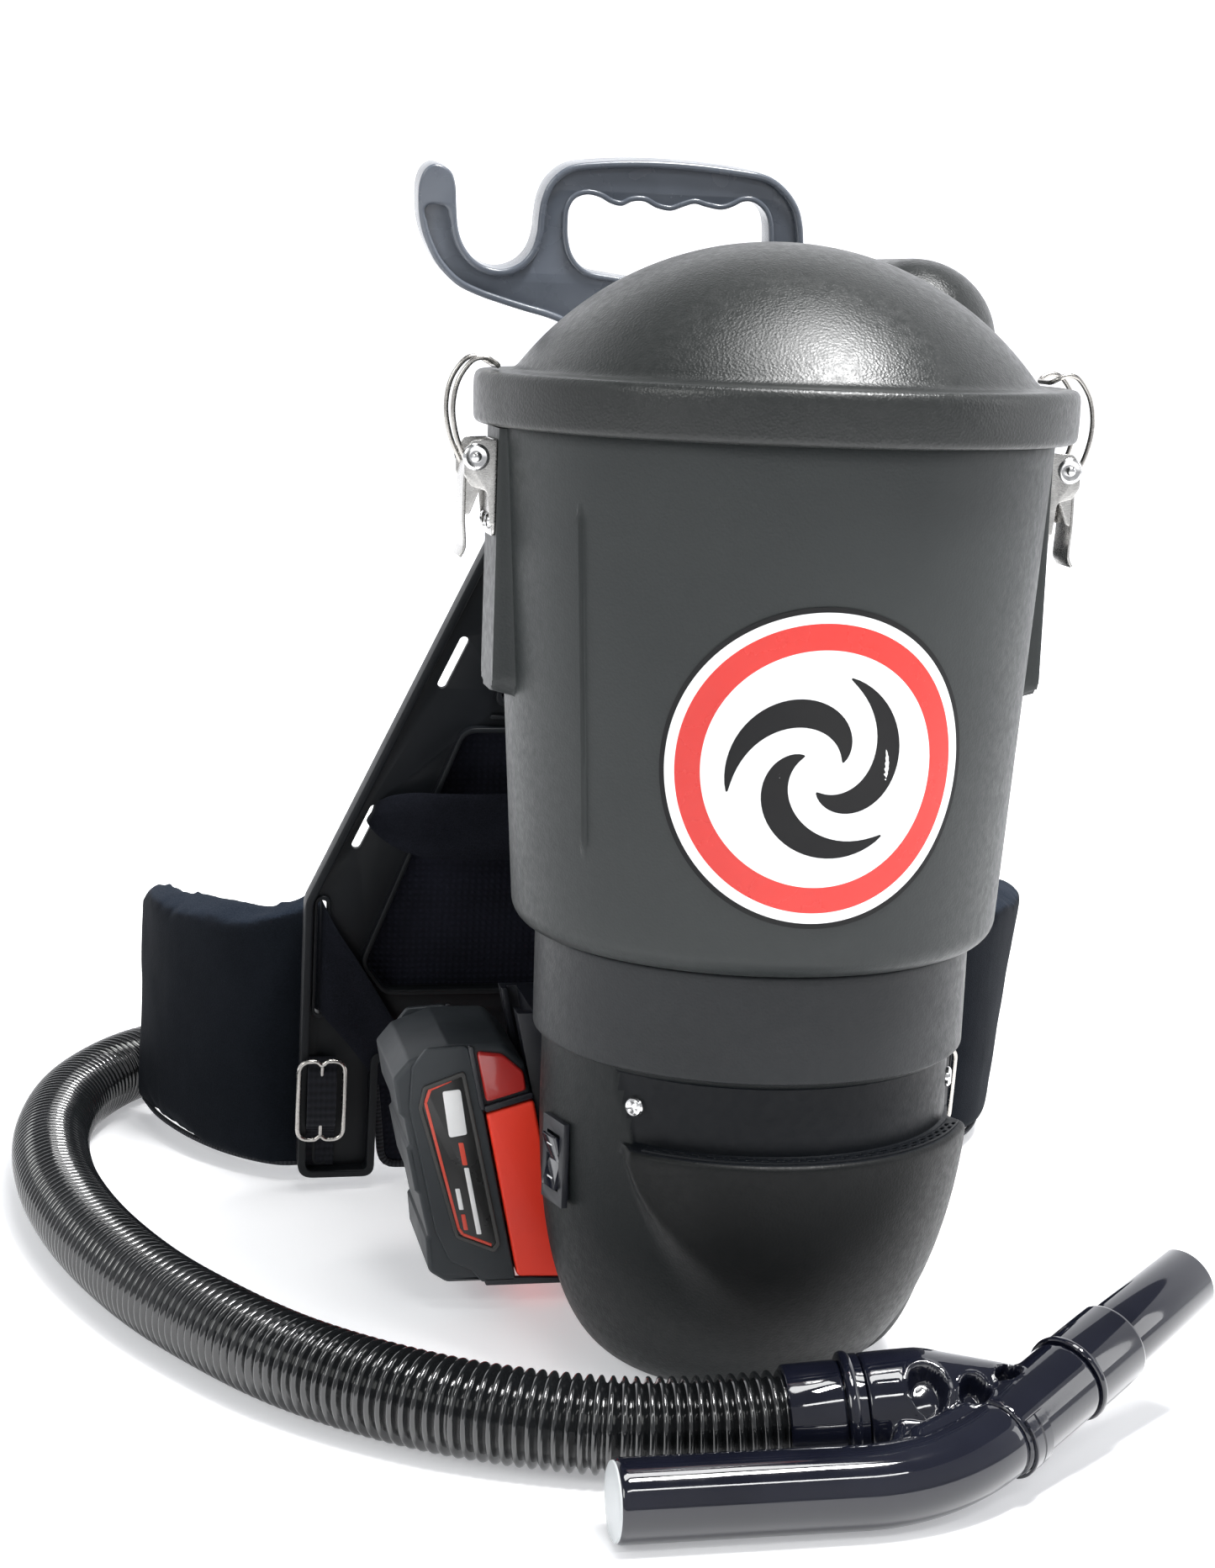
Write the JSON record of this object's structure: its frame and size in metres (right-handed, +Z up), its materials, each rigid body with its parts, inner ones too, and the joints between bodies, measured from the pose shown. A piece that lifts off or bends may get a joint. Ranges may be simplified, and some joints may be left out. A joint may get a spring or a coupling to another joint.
{
  "type": "backpack vacuum cleaner",
  "caption": "Battery backpack vacuum cleaner: tapered canister with domed clip-on lid, harness frame and pads, side battery pack, long corrugated hose and bent hand-piece.",
  "frame": {"origin": "on the canister's axis at floor level, where the motor cover's foot rests", "axes": "+Z up the canister, -Y the side with the badge, +Y the harness and wearer's side, -X the side with switch and battery"},
  "size_m": [0.6177, 0.6999, 0.5692],
  "materials": {
    "charcoal_shell": "fine leather grain, satin",
    "black_moulding": "satin",
    "gloss_black": "gloss",
    "hose_black": "gloss, corrugated",
    "plated_steel": "bright zinc",
    "spring_wire": "nickel",
    "pack_rubber": "rubbery",
    "pack_red": "satin",
    "badge_white": "printed sticker",
    "label_print": "printed",
    "seal_rubber": "soft",
    "pad_fabric": "woven",
    "webbing": "ribbed weave",
    "bag_cloth": "felted",
    "filter_foam": "foam",
    "motor_steel": "plain",
    "board_green": "lacquered",
    "cap_grey": "matt"
  },
  "bodies": {
    "machine": {"tub": "charcoal_shell", "motor_housing": "charcoal_shell", "base_cover": "charcoal_shell", "exhaust_grille": "black_moulding", "cover_screws": "plated_steel", "lid": "charcoal_shell", "lid_gasket": "seal_rubber", "inlet_collar": "black_moulding", "bag_ring": "black_moulding", "dust_bag": "bag_cloth", "motor_filter": "filter_foam", "motor": "motor_steel", "badge": "badge_white", "latch_bracket_right": "plated_steel", "latch_bracket_left": "plated_steel", "switch_bezel": "black_moulding", "carrier": "black_moulding", "upper_bracket": "black_moulding", "battery_dock": "black_moulding", "circuit_board": "board_green", "back_frame": "black_moulding", "frame_bolts": "plated_steel", "carry_handle": "gloss_black", "handle_bolts": "plated_steel", "back_pad": "pad_fabric", "shoulder_strap_left": "pad_fabric", "shoulder_strap_right": "pad_fabric", "waist_pad_left": "pad_fabric", "waist_pad_right": "pad_fabric", "waist_webbing": "webbing", "waist_buckle": "black_moulding", "cross_strap": "webbing", "belt_strap_left": "webbing", "belt_strap_right": "webbing", "wire_slide_left": "spring_wire", "wire_slide_right": "spring_wire", "hose": "hose_black", "hose_cuff_lid": "gloss_black", "hose_cuff_hand": "gloss_black", "hand_grip": "gloss_black", "grip_cap": "cap_grey", "wand_body": "gloss_black", "socket_ring": "gloss_black", "wand_sleeve": "gloss_black", "outlet_tube": "gloss_black"},
    "lever_right": {"latch_lever_right": "plated_steel"},
    "wire_right": {"bail_right": "spring_wire"},
    "lever_left": {"latch_lever_left": "plated_steel"},
    "wire_left": {"bail_left": "spring_wire"},
    "rocker": {"switch_rocker": "gloss_black"},
    "fan": {"impeller": "motor_steel"},
    "battery": {"battery_case": "pack_rubber", "battery_shell": "pack_red", "battery_label": "label_print"},
    "release_front": {"button_front": "pack_red"},
    "release_rear": {"button_rear": "pack_red"},
    "slider": {"suction_slider": "black_moulding"}
  },
  "joints": [
    {"name": "latch_right", "type": "hinge", "parent": "machine", "child": "lever_right", "pos_m": [0.139, 0, 0.428], "axis": [0, -1, 0], "range_deg": [0, 145]},
    {"name": "wire_right", "type": "hinge", "parent": "lever_right", "child": "wire_right", "pos_m": [0.14, 0, 0.42], "axis": [0, -1, 0], "range_deg": [-174, 0]},
    {"name": "latch_left", "type": "hinge", "parent": "machine", "child": "lever_left", "pos_m": [-0.139, 0, 0.428], "axis": [0, 1, 0], "range_deg": [0, 145]},
    {"name": "wire_left", "type": "hinge", "parent": "lever_left", "child": "wire_left", "pos_m": [-0.14, 0, 0.42], "axis": [0, 1, 0], "range_deg": [-174, 0]},
    {"name": "power_switch", "type": "hinge", "parent": "machine", "child": "rocker", "pos_m": [-0.09418, -0.02524, 0.106], "axis": [0.2588, -0.9659, 0], "range_deg": [0, 12]},
    {"name": "motor_spin", "type": "hinge", "parent": "machine", "child": "fan", "pos_m": [0, 0, 0.15], "axis": [0, 0, 1], "continuous": true},
    {"name": "battery_slide", "type": "slide", "parent": "machine", "child": "battery", "axis": [-0.2079, 0, 0.9781], "range_m": [0, 0.105]},
    {"name": "release_front", "type": "slide", "parent": "battery", "child": "release_front", "axis": [0, 1, 0], "range_m": [0, 0.0024], "stiffness_N_per_m": 400},
    {"name": "release_rear", "type": "slide", "parent": "battery", "child": "release_rear", "axis": [0, -1, 0], "range_m": [0, 0.0024], "stiffness_N_per_m": 400},
    {"name": "suction_slider", "type": "hinge", "parent": "machine", "child": "slider", "pos_m": [0.0775, -0.17277, 0.02855], "axis": [0.7955, 0.559, 0.2339], "range_deg": [0, 30]}
  ],
  "couplings": [
    {"joint": "wire_right", "follows": "latch_right", "ratio": -1.2},
    {"joint": "wire_left", "follows": "latch_left", "ratio": -1.2}
  ]
}
